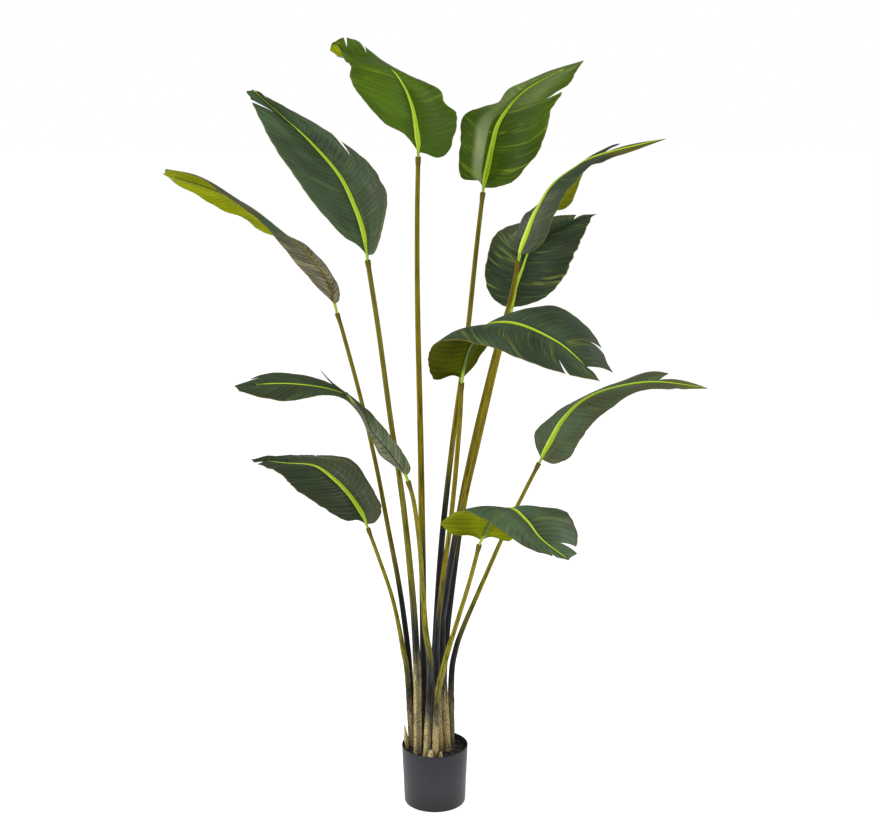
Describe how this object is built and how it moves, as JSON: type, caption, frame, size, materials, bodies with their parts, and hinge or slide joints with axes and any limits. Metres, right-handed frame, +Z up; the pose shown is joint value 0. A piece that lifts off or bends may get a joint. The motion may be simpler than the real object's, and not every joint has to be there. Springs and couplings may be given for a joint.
{
  "type": "potted bird of paradise",
  "caption": "Tall potted bird of paradise: upright stalks stand in dark soil, each topped by a large paddle-shaped leaf with waved, torn edges, in a plain round grey pot.",
  "frame": {"origin": "centre of the pot's flat underside", "axes": "+Z up along the pot's middle line; -Y towards the front, the side that the picture shows; +X to the right seen from there"},
  "size_m": [1.4402, 0.6648, 1.989],
  "materials": {
    "pot": "satin dark slate grey",
    "soil": "rough and nearly black",
    "stalk": "satin olive, brown-black lower down, with tan bark at the foot",
    "rib": "satin lime green",
    "blade_dark": "satin dark green with side veins, yellow-green below",
    "blade_bright": "satin mid green with side veins, yellow-green below",
    "husk": "rough tan bark"
  },
  "bodies": {
    "root": {"pot": "pot", "soil": "soil", "leaf_01_stalk": "stalk", "leaf_01_rib": "rib", "leaf_01_blade": "blade_bright", "leaf_02_stalk": "stalk", "leaf_02_rib": "rib", "leaf_02_blade": "blade_bright", "leaf_03_stalk": "stalk", "leaf_03_rib": "rib", "leaf_03_blade": "blade_dark", "leaf_04_stalk": "stalk", "leaf_04_rib": "rib", "leaf_04_blade": "blade_dark", "leaf_05_stalk": "stalk", "leaf_05_rib": "rib", "leaf_05_blade": "blade_dark", "leaf_06_stalk": "stalk", "leaf_06_rib": "rib", "leaf_06_blade": "blade_dark", "leaf_07_stalk": "stalk", "leaf_07_rib": "rib", "leaf_07_blade": "blade_dark", "leaf_08_stalk": "stalk", "leaf_08_rib": "rib", "leaf_08_blade": "blade_dark", "leaf_09_stalk": "stalk", "leaf_09_rib": "rib", "leaf_09_blade": "blade_dark", "leaf_10_stalk": "stalk", "leaf_10_rib": "rib", "leaf_10_blade": "blade_dark", "leaf_11_stalk": "stalk", "leaf_11_rib": "rib", "leaf_11_blade": "blade_dark", "husk_left": "husk", "husk_front": "husk", "husk_right": "husk"}
  },
  "joints": []
}
